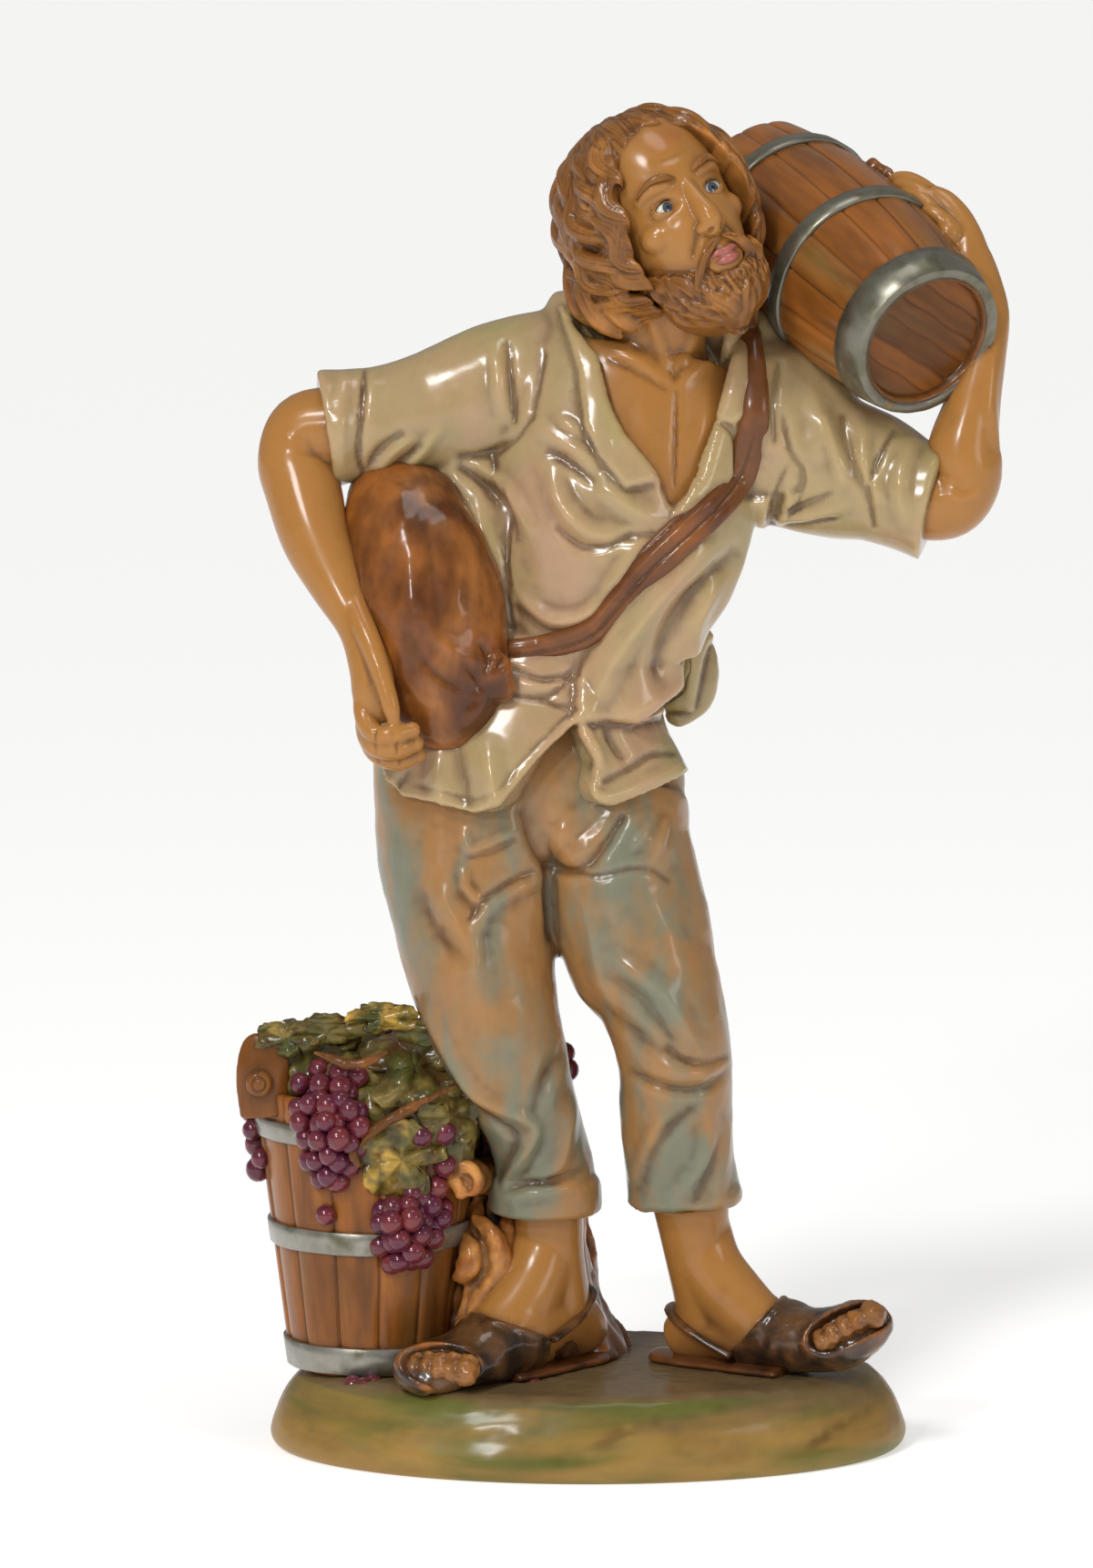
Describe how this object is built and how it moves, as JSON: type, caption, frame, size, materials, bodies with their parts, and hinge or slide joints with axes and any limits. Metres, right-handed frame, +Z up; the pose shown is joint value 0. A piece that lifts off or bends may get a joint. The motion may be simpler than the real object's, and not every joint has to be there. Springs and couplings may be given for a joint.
{
  "type": "presepe figure",
  "caption": "Painted cast nativity figure of a grape picker with a barrel on his shoulder and a wineskin under his arm, on an oval plinth with a tub of grapes and a tree stump.",
  "frame": {"origin": "middle of the plinth's underside, which is the surface that the figure stands on", "axes": "+Z up the figure, +X to the right as the viewer sees it, towards the raised foot, +Y away from the viewer"},
  "size_m": [0.167, 0.0903, 0.2976],
  "materials": {
    "painted_resin": "painted and lacquered",
    "skin_paint": "painted and lacquered",
    "hair_paint": "painted and lacquered",
    "shirt_paint": "painted and lacquered",
    "trouser_paint": "painted and lacquered",
    "leather_paint": "painted and lacquered",
    "wood_paint": "painted and lacquered",
    "hoop_paint": "silver paint, lacquered",
    "grape_paint": "painted and lacquered",
    "leaf_paint": "painted and lacquered",
    "ground_paint": "painted and lacquered"
  },
  "bodies": {
    "root": {"grape_picker": "painted_resin"}
  },
  "joints": []
}
